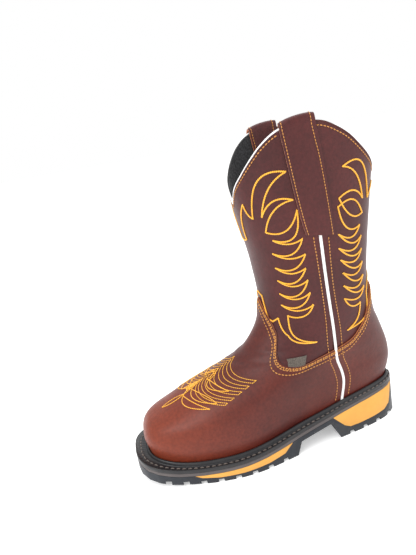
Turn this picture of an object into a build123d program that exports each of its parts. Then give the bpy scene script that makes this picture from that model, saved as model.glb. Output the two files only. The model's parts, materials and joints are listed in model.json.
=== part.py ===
from build123d import *

import os

import numpy as np

# Left pull-on work boot with a steel toe, in millimetres.
# While it is built, x is lateral (+ to the outer side of the foot), y is minus the distance
# forward of the heel, and z is up from the ground. Every piece is moved at the end, so that
# the origin is on the ground under the middle of the whole boot.
#
# The upper's pieces lie on one skin. u goes once round it, from 0 at the front over 0.25 at
# the outer side to 0.5 at the back, and v goes up it, from 0 at the line where the leather
# meets the welt to 1 above the topline. A depth is counted inwards from the skin.

# ---------------------------------------------------------------- driving dimensions
LAST_LENGTH = 282.0        # feather line, heel to toe
LAST_WIDTH = 110.0         # widest part of the forefoot
SHAFT_TOP = 335.0          # highest point of the topline above the ground
SHAFT_WIDTH = 108.0        # across the topline, side to side

LEATHER = 1.8
LINING = 1.2
FIT = 0.4                  # left between two sewn or glued layers
TOE_CAP_STEEL = 1.8
TOE_CAP_LENGTH = 52.0      # back from the tip of the last
CAP_PAD_LENGTH = 8.0
STIFFENER = 1.6

STRAP_THICKNESS = 2.4
STRAP_WIDTH = 32.0
LOOP_HEIGHT = 6.6          # outside height of a pull strap's free loop
LOOP_GAP = 6.6             # clear width inside the free loop
LOOP_CLEARANCE = 1.5       # between the free loop and the ends of the strap's sewn legs
LOOP_REAR_RISE = 2.5       # the loop's rear end stands this much higher over the topline

PIPING_WIDTH = 2.8
PIPING_PROUD = 0.6
BEAD_HEIGHT = 1.8          # rolled edge on top of the shaft
LAP = 10.0                 # how far the shaft runs down inside the vamp and the heel cover
TAG_THICKNESS = 0.6

RIM_HEIGHT = 4.0           # raised lip of the welt that hugs the leather
RIM_WIDTH = 3.0
WELT_THICKNESS = 4.0
MIDSOLE_THICKNESS = 4.0
WELT_THREAD = 0.9
INSOLE_THICKNESS = 2.8
RIB_THICKNESS = 2.4
SHANK_BACK = 72.0          # rear end of the shank, forward of the heel
SHANK_LENGTH = 105.0
SHANK_WIDTH = 16.0
SHANK_THICKNESS = 1.6
FOOTBED_THICKNESS = 5.2
FOOTBED_COVER = 1.2
FOOTBED_CLEARANCE = 0.8

TOE_MARGIN = 15.5          # from the leather out to the edge of the sole
FOREFOOT_MARGIN = 9.5
WAIST_MARGIN = 7.5
HEEL_MARGIN = 5.5
TOE_SPRING = 9.0
WAIST_RUBBER = 5.5         # rubber under the arch
LUG_DEPTH = 3.4
GROOVE_WIDTH = 6.0
GROOVE_PITCH = 18.0

# ---------------------------------------------------------------- shape of the last
# The tables are drawn for a last 282 long and 110 wide with a shaft 335 high and 108 wide, and
# are scaled from there. Each row: v, front (f, z), back (f, z), half-width behind, half-width in
# front, roundness behind, roundness in front (2 is an ellipse, more is squarer), swing of the
# toe towards the inner side, waist depth outside, waist depth inside.
DRAWN_LENGTH, DRAWN_WIDTH, DRAWN_TOP, DRAWN_SHAFT_WIDTH = 282.0, 110.0, 335.0, 108.0
ANKLE = 110.0              # heights above this follow SHAFT_TOP
SKIN = (
    (0.00, (292, 31), (8, 49), 34.5, 51, 2.3, 3.0, 4, 3, 9),
    (0.07, (295, 46), (4, 60), 35.5, 55, 2.3, 3.0, 4, 2, 7),
    (0.15, (288, 62), (2, 70), 36, 55, 2.3, 2.6, 3, 1, 4),
    (0.24, (264, 74), (2, 80), 36, 53, 2.2, 2.3, 2, 0, 2),
    (0.34, (231, 86), (4, 91), 36, 50, 2.2, 2.0, 1, 0, 1),
    (0.45, (193, 102), (8, 104), 37, 46, 2.2, 1.9, 0, 0, 0),
    (0.56, (163, 122), (13, 118), 38, 43.5, 2.2, 1.9, 0, 0, 0),
    (0.66, (146, 153), (18, 136), 40.5, 43, 2.2, 2.0, 0, 0, 0),
    (0.76, (147, 205), (21, 175), 47, 48, 2.3, 2.2, 0, 0, 0),
    (0.88, (156, 262), (14, 240), 53, 54, 2.3, 2.3, 0, 0, 0),
    (1.00, (169, 348), (-4, 348), 57, 58, 2.3, 2.3, 0, 0, 0),
)
FEATHER = ((-40, 50), (0, 49), (60, 44.5), (110, 36), (160, 27.5), (210, 22.5), (260, 23), (310, 31.5),
           (340, 38))
MARGINS = ((-40, HEEL_MARGIN), (45, HEEL_MARGIN), (115, WAIST_MARGIN), (200, FOREFOOT_MARGIN),
           (262, FOREFOOT_MARGIN + 1), (290, TOE_MARGIN), (340, TOE_MARGIN))

# lines on the skin, (u, v), the same on both sides
TOPLINE = ((0, 0.895), (0.034, 0.915), (0.088, 0.938), (0.124, 0.955), (0.155, 0.97), (0.19, 0.983),
           (0.225, 0.988), (0.26, 0.986), (0.283, 0.979), (0.309, 0.97), (0.343, 0.957), (0.386, 0.944),
           (0.433, 0.933), (0.5, 0.928))
FOOT_EDGE = ((0, 0.694), (0.045, 0.668), (0.09, 0.63), (0.111, 0.6), (0.13, 0.545), (0.16, 0.483),
             (0.195, 0.442), (0.225, 0.43), (0.255, 0.452), (0.285, 0.478), (0.315, 0.513), (0.34, 0.58),
             (0.37, 0.648), (0.41, 0.702), (0.45, 0.728), (0.5, 0.736))
SEAM = ((-0.2, 0.329), (0, 0.329), (0.12, 0.329), (0.27, 0.315), (0.4, 0.29), (0.55, 0.268), (0.68, 0.252),
        (0.8, 0.249), (1, 0.243))          # (v, u)
STRAP_MIDDLE = ((0.7, 0.2717), (0.85, 0.246), (0.99, 0.222), (1.1, 0.2032))   # (v, u)
STRAP_FOOT, STRAP_INNER_FOOT = 0.851, 0.93
LINING_JOIN = 0.52         # the foot linings end and the shaft linings begin at this v
TAG_CORNERS = ((0.189, 0.227), (0.169, 0.212))   # u of the front and rear, below and above
TAG_TOP = 0.497
STIFFENER_REACH = 0.345
STIFFENER_TOP = ((0.3, 0.17), (0.345, 0.2), (0.42, 0.32), (0.5, 0.36))

SKIRT = 100.0              # a v of -1 is this far straight down from the feather line
LAYER_2 = LEATHER + FIT
LAYER_3 = LAYER_2 + LEATHER + FIT
WALL = LAYER_3 + LINING


def smooth_curve(x, stations):
    """Smooth curve through uneven stations, with the slope at each taken from its neighbours."""
    xs, ys = (np.asarray(column, float) for column in zip(*stations))
    slope = np.gradient(ys, xs)
    x = np.asarray(x, float)
    i = np.clip(np.searchsorted(xs, x, side="right") - 1, 0, len(xs) - 2)
    h = xs[i + 1] - xs[i]
    t = np.clip((x - xs[i]) / h, 0, 1)
    rise = (2 * t**3 - 3 * t**2 + 1) * ys[i] + (3 * t**2 - 2 * t**3) * ys[i + 1]
    return rise + h * ((t**3 - 2 * t**2 + t) * slope[i] + (t**3 - t**2) * slope[i + 1])


def step(t):
    """Smooth step from 0 to 1."""
    t = np.clip(t, 0, 1)
    return t * t * (3 - 2 * t)


def forward(f):
    """Drawn distance forward of the heel, scaled to the last's length."""
    return f * LAST_LENGTH / DRAWN_LENGTH


def height(z):
    """Drawn height, with the part above the ankle stretched to the shaft's height."""
    stretch = (SHAFT_TOP - ANKLE) / (DRAWN_TOP - ANKLE)
    z = np.asarray(z, float)
    return np.where(z > ANKLE, ANKLE + (z - ANKLE) * stretch, z)


def feather(f):
    """Height of the line where the leather meets the welt's lip."""
    return smooth_curve(np.asarray(f) * DRAWN_LENGTH / LAST_LENGTH, FEATHER)


def skin(u, v):
    """Points of the skin. Below v = 0 it goes straight down."""
    u, v = np.broadcast_arrays(np.asarray(u, float), np.asarray(v, float))
    drop, v = np.minimum(v, 0) * SKIRT, np.maximum(v, 0)
    shares = [row[0] for row in SKIN]
    columns = [[row[1][0] for row in SKIN], [row[1][1] for row in SKIN], [row[2][0] for row in SKIN],
               [row[2][1] for row in SKIN], *[[row[k] for row in SKIN] for k in range(3, 10)]]
    (front_f, front_z, back_f, back_z, rear, fore, n_rear, n_fore, swing, waist_out,
     waist_in) = [smooth_curve(v, list(zip(shares, values))) for values in columns]
    cos, sin = np.cos(2 * np.pi * u), np.sin(2 * np.pi * u)
    power = 2 / np.where(cos > 0, n_fore, n_rear)
    share = (1 + np.sign(cos) * np.abs(cos)**power) / 2
    side = np.sign(sin) * np.abs(sin)**power
    low_width, high_width = LAST_WIDTH / DRAWN_WIDTH, SHAFT_WIDTH / DRAWN_SHAFT_WIDTH
    width = low_width + (high_width - low_width) * step((v - 0.5) / 0.4)
    half = rear + (fore - rear) * step((share - 0.2) / 0.5)
    half = half - np.where(sin > 0, waist_out, waist_in) * np.exp(-((share - 0.45) / 0.13)**2)
    f = forward(back_f + (front_f - back_f) * share)
    heel, toe = forward(SKIN[0][2][0]), forward(SKIN[0][1][0])
    chord = SKIN[0][2][1] + (SKIN[0][1][1] - SKIN[0][2][1]) * (f - heel) / (toe - heel)
    z = back_z + (front_z - back_z) * share + (1 - step(v / 0.35)) * (feather(f) - chord)
    x = width * (half * side - swing * step((share - 0.5) / 0.5))
    return np.stack([x, -f, height(z) + drop], -1)


TINY = 1e-3


def rates(u, v):
    """Change of the skin's points with u and with v."""
    return ((skin(u + TINY, v) - skin(u - TINY, v)) / (2 * TINY),
            (skin(u, v + TINY) - skin(u, v - TINY)) / (2 * TINY))


def deep(u, v, depth):
    """Points of the skin, moved inwards along its normal by depth."""
    around, up = rates(u, v)
    normal = np.cross(around, up)
    normal /= np.linalg.norm(normal, axis=-1)[..., None]
    return skin(u, v) - normal * np.asarray(depth, float)[..., None]


def turns(length, u, v):
    """Share of u that is this length along the skin."""
    return length / np.linalg.norm(rates(u, v)[0], axis=-1)


def rises(length, u, v):
    """Share of v that is this length along the skin."""
    return length / np.linalg.norm(rates(u, v)[1], axis=-1)


def fold(u):
    """u counted from the front on either side, from 0 to 0.5."""
    return np.abs((np.asarray(u) + 0.5) % 1 - 0.5)


def topline(u):
    return smooth_curve(fold(u), TOPLINE)


def foot_edge(u):
    return smooth_curve(fold(u), FOOT_EDGE)


# ---------------------------------------------------------------- solids on the skin
def shell_piece(u, v, outside, inside):
    """Solid between two depths of the skin, with flat facets over a grid of u and v."""
    rows, columns = u.shape
    points = [Vector(*(float(c) for c in point)) for depth in (outside, inside)
              for point in deep(u, v, np.full_like(u, depth)).reshape(-1, 3)]
    number = np.arange(rows * columns).reshape(rows, columns)
    a, b, c, d = number[:-1, :-1], number[:-1, 1:], number[1:, 1:], number[1:, :-1]
    front = np.concatenate([np.stack(three, -1).reshape(-1, 3) for three in ((a, b, c), (a, c, d))])
    rim = np.concatenate([number[0, :], number[1:, -1], number[-1, -2::-1], number[-2:0:-1, 0]])
    after, back = np.roll(rim, -1), number.size
    side = np.concatenate([np.stack([rim, rim + back, after + back], -1),
                           np.stack([rim, after + back, after], -1)])
    triangles = np.concatenate([front, front[:, ::-1] + back, side])
    solid = Solid(Shell([Face(Wire.make_polygon([points[i] for i in three])) for three in triangles]))
    return solid if solid.volume > 0 else Solid(solid.wrapped.Reversed())


FINE = 1601                # points along a row before it is spaced evenly


def spread(low, high, count, v):
    """u from low to high, evenly spaced along the skin at v."""
    fine = np.linspace(low, high, 400)
    points = skin(fine, np.full_like(fine, v))
    run = np.concatenate([[0], np.cumsum(np.linalg.norm(np.diff(points, axis=0), axis=1))])
    return np.interp(np.linspace(0, run[-1], count), run, fine)


def even(u, v, columns):
    """Points at even distances along each row of a fine grid."""
    runs = np.linalg.norm(np.diff(skin(u, v), axis=1), axis=2)
    run = np.concatenate([np.zeros((len(runs), 1)), np.cumsum(runs, axis=1)], axis=1)
    targets = run[:, -1:] * np.linspace(0, 1, columns)
    return [np.stack([np.interp(*row) for row in zip(targets, run, grid)]) for grid in (u, v)]


def half_piece(front, low, high, outside, inside, rows, columns):
    """Half of a layer, from seam to seam. low and high give v from u."""
    up = np.linspace(0, 1, rows)[:, None]
    v = np.full_like(up, 0.4)
    for _ in range(12):
        seam = smooth_curve(v, SEAM)
        gap = turns(PIPING_WIDTH / 2, seam, v)
        end = seam - gap if front else seam + gap
        v = low(end) + (high(end) - low(end)) * up
    share = np.linspace(-1, 1, FINE)
    u = share * end if front else 0.5 + share * (0.5 - end)
    return shell_piece(*even(u, low(u) + (high(u) - low(u)) * up, columns), outside, inside)


def at(v):
    return lambda u: np.full_like(u, v)


def above(line, length):
    """Line on the skin moved up by a length, or down by a negative one."""
    return lambda u: line(u) + rises(length, u, line(u))


def strip(middle, low, high, half_width, outside, inside, rows, columns=5):
    """Band along the line u = middle(v), half_width each side of it. low and high give v from u."""
    share, up = np.meshgrid(np.linspace(-1, 1, columns), np.linspace(0, 1, rows))
    v = low(np.full_like(share, 0.25)) + 0 * share
    for _ in range(12):
        u = middle(v) + share * turns(half_width, middle(v), v)
        v = low(u) + (high(u) - low(u)) * up
    return u, v, outside, inside


def mirrored(sign, u, v, outside, inside):
    """The same piece of skin on the outer (+1) or the inner (-1) side."""
    return shell_piece(sign * u, v, outside, inside)


SIDES = (("outer", 1), ("inner", -1))
parts = {}
low_edge = at((FIT - RIM_HEIGHT - WELT_THICKNESS) / SKIRT)
lining_edge = at((FIT - RIM_HEIGHT) / SKIRT)

parts["vamp"] = half_piece(True, low_edge, foot_edge, 0, LEATHER, 23, 57)
parts["heel_cover"] = half_piece(False, low_edge, foot_edge, 0, LEATHER, 14, 25)
for name, front, rows, lining_rows in (("front", True, 18, 13), ("back", False, 12, 11)):
    parts[f"shaft_{name}"] = half_piece(
        front, above(foot_edge, -LAP), topline, LAYER_2, LAYER_2 + LEATHER, rows, 27)
    parts[f"topline_bead_{name}"] = half_piece(
        front, above(topline, FIT), above(topline, FIT + BEAD_HEIGHT), LAYER_2, WALL, 2, 27)
    parts[f"shaft_lining_{name}"] = half_piece(
        front, above(at(LINING_JOIN), FIT), topline, LAYER_3, WALL, lining_rows, 27)
parts["vamp_lining"] = half_piece(True, lining_edge, at(LINING_JOIN), LAYER_3, WALL, 18, 49)
parts["heel_lining"] = half_piece(False, lining_edge, at(LINING_JOIN), LAYER_3, WALL, 12, 21)


def piping_depths(v):
    """Outer and inner face of the piping. The outer one is proud of the foot pieces, then of the shaft,
    and is flush inside the welt and under the strap."""
    edge = smooth_curve(0.28, FOOT_EDGE)
    proud = PIPING_PROUD * step(v / 0.04) * (1 - step((v - STRAP_FOOT + 0.02) / 0.015))
    return LAYER_2 * step((v - edge) / 0.05) - proud, LEATHER + LAYER_2 * step((v - edge + 0.1) / 0.05)


def piping(sign):
    """Cord along the side seam, as straight runs between sections square to the skin."""
    top = float(topline(smooth_curve(1, SEAM)))
    sections = []
    for v in np.linspace(low_edge(0.0), top, 33):
        u = sign * smooth_curve(v, SEAM)
        along = rates(u, v)[0]
        along /= np.linalg.norm(along)
        inwards = deep(u, v, 1.0) - skin(u, v)
        half, depths = PIPING_WIDTH / 2 - FIT, piping_depths(v)
        corners = [skin(u, v) + side * half * along + depth * inwards
                   for side, depth in ((1, depths[0]), (-1, depths[0]), (-1, depths[1]), (1, depths[1]))]
        sections.append(Wire.make_polygon([Vector(*(float(c) for c in corner)) for corner in corners]))
    return Solid.make_loft(sections, ruled=True)


for name, sign in SIDES:
    parts[f"side_piping_{name}"] = piping(sign)


# ---------------------------------------------------------------- pull straps
def strap_middle(v):
    return smooth_curve(v, STRAP_MIDDLE)


leg_top = above(topline, -LOOP_CLEARANCE)
for name, sign in SIDES:
    half = STRAP_WIDTH / 2
    parts[f"{name}_strap_outside_leg"] = mirrored(sign, *strip(
        strap_middle, at(STRAP_FOOT), leg_top, half, LEATHER - STRAP_THICKNESS, LEATHER, rows=8))
    parts[f"{name}_strap_inside_leg"] = mirrored(sign, *strip(
        strap_middle, at(STRAP_INNER_FOOT), leg_top, half, WALL + FIT, WALL + FIT + STRAP_THICKNESS, rows=4))


def loop_ends(sign):
    """Front and rear ends of the loop's base line, over the middle of the shaft's wall."""
    ends = []
    for along, extra in ((-1, 0), (1, LOOP_REAR_RISE)):
        v = float(topline(strap_middle(0.99)))
        u = float(strap_middle(v) + along * turns(STRAP_WIDTH / 2, strap_middle(v), v))
        point = deep(sign * u, topline(u), (LAYER_2 + WALL) / 2)
        ends.append(Vector(*(float(c) for c in point)) + Vector(0, 0, LOOP_CLEARANCE + extra))
    return ends


def loop(sign):
    """Arch of strap that stands over the topline along its base line."""
    front, rear = loop_ends(sign)
    outwards = (rear - front).cross(Vector(0, 0, 1))
    plane = Plane(origin=front, x_dir=outwards, z_dir=rear - front)
    up = 1 if plane.y_dir.Z > 0 else -1
    outside, inside = LOOP_GAP / 2 + STRAP_THICKNESS, LOOP_GAP / 2
    leg = LOOP_HEIGHT - outside
    outline = [Line((outside, 0), (outside, up * leg)),
               ThreePointArc((outside, up * leg), (0, up * LOOP_HEIGHT), (-outside, up * leg)),
               Line((-outside, up * leg), (-outside, 0)), Line((-outside, 0), (-inside, 0)),
               Line((-inside, 0), (-inside, up * leg)),
               ThreePointArc((-inside, up * leg), (0, up * (leg + inside)), (inside, up * leg)),
               Line((inside, up * leg), (inside, 0)), Line((inside, 0), (outside, 0))]
    return extrude(plane * make_face(outline), (rear - front).length)


for name, sign in SIDES:
    parts[f"{name}_pull_loop"] = loop(sign)

share, up = np.meshgrid(np.linspace(0, 1, 5), np.linspace(0, 1, 4))
tag_u = [front + (rear - front) * share for front, rear in TAG_CORNERS]
tag_u = tag_u[0] + (tag_u[1] - tag_u[0]) * up
tag_low = above(foot_edge, FIT)(tag_u)
parts["side_tag"] = shell_piece(tag_u, tag_low + (TAG_TOP - tag_low) * up, LEATHER - TAG_THICKNESS, LEATHER)


# ---------------------------------------------------------------- toe cap, pad, heel stiffener
def crossing(f, v):
    """u on the outer side at which the skin is f forward of the heel."""
    u = np.linspace(0, 0.5, 1201)
    ahead = -skin(u[None, :], np.asarray(v, float).reshape(-1, 1))[..., 1]
    found = u[np.argmax(ahead < f, axis=1)]
    return found.reshape(np.shape(v))


def crest(f):
    """v at which the middle of the skin's front is f forward of the heel."""
    v = np.linspace(0.08, 0.6, 2000)
    return float(v[np.argmax(-skin(0 * v, v)[:, 1] < f)])


toe = forward(SKIN[0][1][0])
cap_back = toe - TOE_CAP_LENGTH
share = np.linspace(-1, 1, FINE)
up = np.linspace(0, 1, 13)[:, None]
v = lining_edge(up) + (crest(cap_back + 3) - lining_edge(up)) * up
u = share * crossing(cap_back + 0.5, np.maximum(v, 0))
parts["steel_toe_cap"] = shell_piece(*even(u, v + 0 * u, 41), LAYER_2, LAYER_2 + TOE_CAP_STEEL)

grids = []
for back in (FIT, CAP_PAD_LENGTH / 2, CAP_PAD_LENGTH):
    v = crest(cap_back - back) * (1 - share[::8]**2)
    grids.append((np.sign(share[::8]) * crossing(cap_back - back, v), v))
u, v = (np.stack(rows) for rows in zip(*grids))
parts["toe_cap_edge_pad"] = shell_piece(*even(u, v, 25), LAYER_2, LAYER_2 + TOE_CAP_STEEL)

up = np.linspace(0, 1, 9)[:, None]
u = 0.5 + share * (0.5 - STIFFENER_REACH) + 0 * up
v = lining_edge(u) + (smooth_curve(fold(u), STIFFENER_TOP) - lining_edge(u)) * up
parts["heel_stiffener"] = shell_piece(*even(u, v, 17), LAYER_2, LAYER_2 + STIFFENER)

# ---------------------------------------------------------------- bottom
LOW, WIDE = -30.0, 150.0


def slab(*edges):
    """Side-view outline made into a solid right across the boot."""
    return extrude(make_face(edges), WIDE, dir=(1, 0, 0), both=True)


def layer(low, high):
    """Slab between two heights counted from the feather line, in straight runs."""
    reach = np.linspace(forward(-35), forward(335), 17)
    line = [[Vector(0, -f, float(feather(f)) + rise) for f in reach] for rise in (low, high)]
    return slab(Polyline(*line[0], *line[1][::-1], line[0][0]))


def plan(margin):
    """Upright prism whose outline stands outside the feather line by margin(f)."""
    base = skin(spread(0, 1, 73, 0)[:-1], 0)
    turn = np.roll(base, -1, 0) - np.roll(base, 1, 0)
    outwards = np.stack([turn[:, 1], -turn[:, 0]], 1)
    outwards *= np.sign(outwards[0] @ np.array([0.0, -1.0]))
    outwards /= np.linalg.norm(outwards, axis=1)[:, None]
    base[:, :2] += outwards * np.asarray(margin(-base[:, 1]))[:, None]
    base[:, 2] = LOW
    outline = Polyline(*[Vector(*(float(c) for c in point)) for point in base], close=True)
    return extrude(make_face(outline), 160, dir=(0, 0, 1))


def flat(value):
    return lambda f: np.full_like(f, value)


def sole_margin(f):
    return smooth_curve(f * DRAWN_LENGTH / LAST_LENGTH, MARGINS)


def thread_margin(extra):
    return lambda f: RIM_WIDTH + (sole_margin(f) - RIM_WIDTH) * 0.5 + extra


def box(f_range, x_range, z_range):
    """Block from ranges of distance forward, of x and of z."""
    (f0, f1), (x0, x1), (z0, z1) = f_range, x_range, z_range
    return Pos((x0 + x1) / 2, -(f0 + f1) / 2, (z0 + z1) / 2) * Box(x1 - x0, f1 - f0, z1 - z0)


edge = plan(sole_margin)
ledge_top, welt_low = -RIM_HEIGHT, -RIM_HEIGHT - WELT_THICKNESS
midsole_low = welt_low - MIDSOLE_THICKNESS
lip = plan(flat(RIM_WIDTH)) & layer(ledge_top, -FIT)
parts["storm_welt"] = ((edge & layer(welt_low, ledge_top)) + lip) - plan(flat(FIT))
thread_ring = plan(thread_margin(WELT_THREAD / 2)) - plan(thread_margin(-WELT_THREAD / 2))
parts["welt_thread"] = thread_ring & layer(ledge_top, ledge_top + WELT_THREAD)
parts["midsole"] = edge & layer(midsole_low, welt_low)

rib_level = layer(welt_low, ledge_top - FIT)
rib_out, rib_in = LAYER_2, LAYER_2 + RIB_THICKNESS
parts["insole_board"] = plan(flat(-WALL - FIT)) & layer(ledge_top, ledge_top + INSOLE_THICKNESS)
parts["insole_rib"] = (plan(flat(-rib_out)) - plan(flat(-rib_in))) & rib_level
shank_room = box((forward(SHANK_BACK), forward(SHANK_BACK) + SHANK_LENGTH),
                 (-SHANK_WIDTH / 2, SHANK_WIDTH / 2), (LOW, 100))
parts["steel_shank"] = shank_room & layer(ledge_top - FIT - SHANK_THICKNESS, ledge_top - FIT)
parts["cork_filler"] = (plan(flat(-rib_in - FIT)) & rib_level) - parts["steel_shank"]

footbed_plan = plan(flat(-WALL - FOOTBED_CLEARANCE))
footbed_low = ledge_top + INSOLE_THICKNESS + FIT
footbed_top = footbed_low + FOOTBED_THICKNESS
parts["footbed"] = footbed_plan & layer(footbed_low, footbed_top)
parts["footbed_cover"] = footbed_plan & layer(footbed_top, footbed_top + FOOTBED_COVER)


# ---------------------------------------------------------------- outsole
def profile(*points):
    """Side-view line from drawn (f, z) points."""
    return [Vector(0, -forward(f), z) for f, z in points]


reach, over = (-WIDE, WIDE), 60.0
arch = [Vector(0, -forward(f), float(feather(forward(f))) + midsole_low - WAIST_RUBBER)
        for f in (92, 105, 119, 132)]
tip = forward(310)
spring = [Vector(0, -forward(232), 0), Vector(0, -forward(275), 0.36 * TOE_SPRING),
          Vector(0, -tip, TOE_SPRING)]
ground = slab(
    Polyline(Vector(0, 40, LOW), Vector(0, 40, 0), *profile((84, 0)), *arch, *profile((138, 0), (232, 0)),
             *spring[1:], Vector(0, -tip - 100, TOE_SPRING), Vector(0, -tip - 100, LOW),
             Vector(0, 40, LOW)))
block = (edge & layer(-90, midsole_low)) - ground

fore_start, heel_start, heel_end = forward(150), forward(12), forward(72)
grooves = [fore_start + GROOVE_PITCH * i for i in range(int((tip - fore_start) / GROOVE_PITCH))]
grooves += [heel_start + GROOVE_PITCH * i for i in range(int((heel_end - heel_start) / GROOVE_PITCH) + 1)]
for f in grooves:
    lift = TOE_SPRING * max(0.0, (f - forward(232)) / (tip - forward(232)))**1.3
    block -= box((f, f + GROOVE_WIDTH), reach, (LOW, lift + LUG_DEPTH))
for f_range in ((fore_start, tip - 25), (heel_start, heel_end)):
    block -= box(f_range, (-GROOVE_WIDTH / 2, GROOVE_WIDTH / 2), (LOW, LUG_DEPTH))

fore_bottom = profile((256, 13), (244, 7.5), (225, 5.2), (200, 5.2), (172, 6.6), (153, 9.8), (143, 18))
fore_inlay = slab(Polyline(*fore_bottom, *profile((143, over), (256, over), (256, 13))))
heel_bottom = profile((12, 21), (15, 14), (23, 10), (40, 9), (60, 8.6), (71, 9), (78, 13))
heel_inlay = slab(Polyline(*profile((7, over), (7, 36)), *heel_bottom,
                           *profile((91, 27), (91, over), (7, over))))
parts["forefoot_insert"] = block & fore_inlay
parts["heel_insert"] = block & heel_inlay
parts["outsole"] = block - fore_inlay - heel_inlay

# ---------------------------------------------------------------- origin under the middle
boxes = [piece.bounding_box() for piece in parts.values()]
low = [min(getattr(b.min, axis) for b in boxes) for axis in "XYZ"]
high = [max(getattr(b.max, axis) for b in boxes) for axis in "XYZ"]
to_origin = Pos(-(low[0] + high[0]) / 2, -(low[1] + high[1]) / 2, -low[2])
os.makedirs("parts", exist_ok=True)
for name, piece in parts.items():
    export_step(to_origin * Compound(piece.solids()), f"parts/{name}.step")
print("origin, from the back of the heel and the middle line", tuple(to_origin.position))
for name, sign in SIDES:
    front, rear = [to_origin * Pos(*end) for end in loop_ends(sign)]
    print(name, "loop base line", tuple(front.position), tuple(rear.position))
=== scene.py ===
"""Looks of a left pull-on work boot with a steel toe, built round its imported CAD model.

Every length in a class is in millimetres unless its name ends in _m. The boot's upper lies on one
skin: u goes once round it (0 front, 0.25 outer side, 0.5 back, -0.25 inner side) and v goes up it
(0 where the leather meets the welt, 1 above the topline). A depth is counted inwards from it.
"""

import json
import logging
from collections.abc import Callable
from dataclasses import dataclass
from enum import Enum

import bmesh
import bpy
import numpy as np
from mathutils import Matrix, Vector


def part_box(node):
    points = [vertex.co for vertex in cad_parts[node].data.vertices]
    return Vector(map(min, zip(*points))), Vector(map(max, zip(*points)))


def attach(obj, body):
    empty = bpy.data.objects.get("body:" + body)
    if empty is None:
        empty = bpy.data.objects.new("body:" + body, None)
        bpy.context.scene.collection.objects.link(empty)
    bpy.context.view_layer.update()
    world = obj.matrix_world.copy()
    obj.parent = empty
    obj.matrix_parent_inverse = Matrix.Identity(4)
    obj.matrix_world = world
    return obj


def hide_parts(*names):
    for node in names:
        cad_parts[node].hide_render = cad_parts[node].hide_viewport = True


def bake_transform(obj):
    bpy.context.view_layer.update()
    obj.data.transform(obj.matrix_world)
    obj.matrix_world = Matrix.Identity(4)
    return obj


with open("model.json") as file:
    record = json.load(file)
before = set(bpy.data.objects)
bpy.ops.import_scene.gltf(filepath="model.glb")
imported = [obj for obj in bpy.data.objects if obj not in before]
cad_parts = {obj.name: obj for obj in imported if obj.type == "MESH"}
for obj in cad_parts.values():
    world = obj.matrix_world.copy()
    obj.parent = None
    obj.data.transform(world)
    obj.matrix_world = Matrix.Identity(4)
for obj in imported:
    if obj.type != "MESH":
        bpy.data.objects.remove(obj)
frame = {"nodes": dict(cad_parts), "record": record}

MM = 0.001
SHARP_ANGLE = np.radians(50)
LOG = logging.getLogger("boot")
Array, Piece, Socket = np.ndarray, bpy.types.Object, bpy.types.NodeSocket
Line = Callable[[Array], Array]
Stations = tuple[tuple[float, float], ...]
Colour = Place = tuple[float, float, float]
Tips = tuple[tuple[float, float, float], ...]


class Side(Enum):
    """Side of the boot, as the sign of u."""

    OUTER = 1
    INNER = -1


class Panel(Enum):
    """Half of a layer of the upper, from side seam to side seam."""

    FRONT = "front"
    BACK = "back"


# ---------------------------------------------------------------- numbers shared with the CAD model
LEATHER, LINING, FIT = 1.8, 1.2, 0.4
LAYER_2 = LEATHER + FIT
LAYER_3 = LAYER_2 + LEATHER + FIT
WALL = LAYER_3 + LINING
RIM_HEIGHT = 4.0
STRAP_WIDTH, STRAP_THICKNESS = 32.0, 2.4
SEAM_HALF = 1.4
SKIN_ROWS = (
    (0.00, (292, 31), (8, 49), 34.5, 51, 2.3, 3.0, 4, 3, 9),
    (0.07, (295, 46), (4, 60), 35.5, 55, 2.3, 3.0, 4, 2, 7),
    (0.15, (288, 62), (2, 70), 36, 55, 2.3, 2.6, 3, 1, 4),
    (0.24, (264, 74), (2, 80), 36, 53, 2.2, 2.3, 2, 0, 2),
    (0.34, (231, 86), (4, 91), 36, 50, 2.2, 2.0, 1, 0, 1),
    (0.45, (193, 102), (8, 104), 37, 46, 2.2, 1.9, 0, 0, 0),
    (0.56, (163, 122), (13, 118), 38, 43.5, 2.2, 1.9, 0, 0, 0),
    (0.66, (146, 153), (18, 136), 40.5, 43, 2.2, 2.0, 0, 0, 0),
    (0.76, (147, 205), (21, 175), 47, 48, 2.3, 2.2, 0, 0, 0),
    (0.88, (156, 262), (14, 240), 53, 54, 2.3, 2.3, 0, 0, 0),
    (1.00, (169, 348), (-4, 348), 57, 58, 2.3, 2.3, 0, 0, 0),
)
FEATHER = ((-40, 50), (0, 49), (60, 44.5), (110, 36), (160, 27.5), (210, 22.5), (260, 23), (310, 31.5),
           (340, 38))
MARGINS = ((-40, 5.5), (45, 5.5), (115, 7.5), (200, 9.5), (262, 10.5), (290, 15.5), (340, 15.5))
TOPLINE = ((0, 0.895), (0.034, 0.915), (0.088, 0.938), (0.124, 0.955), (0.155, 0.97), (0.19, 0.983),
           (0.225, 0.988), (0.26, 0.986), (0.283, 0.979), (0.309, 0.97), (0.343, 0.957), (0.386, 0.944),
           (0.433, 0.933), (0.5, 0.928))
FOOT_EDGE = ((0, 0.694), (0.045, 0.668), (0.09, 0.63), (0.111, 0.6), (0.13, 0.545), (0.16, 0.483),
             (0.195, 0.442), (0.225, 0.43), (0.255, 0.452), (0.285, 0.478), (0.315, 0.513), (0.34, 0.58),
             (0.37, 0.648), (0.41, 0.702), (0.45, 0.728), (0.5, 0.736))
SEAM = ((-0.2, 0.329), (0, 0.329), (0.12, 0.329), (0.27, 0.315), (0.4, 0.29), (0.55, 0.268), (0.68, 0.252),
        (0.8, 0.249), (1, 0.243))
STRAP_MIDDLE = ((0.7, 0.2717), (0.85, 0.246), (0.99, 0.222), (1.1, 0.2032))
STRAP_FOOT, STRAP_INNER_FOOT, LINING_JOIN = 0.851, 0.93, 0.52
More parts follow.
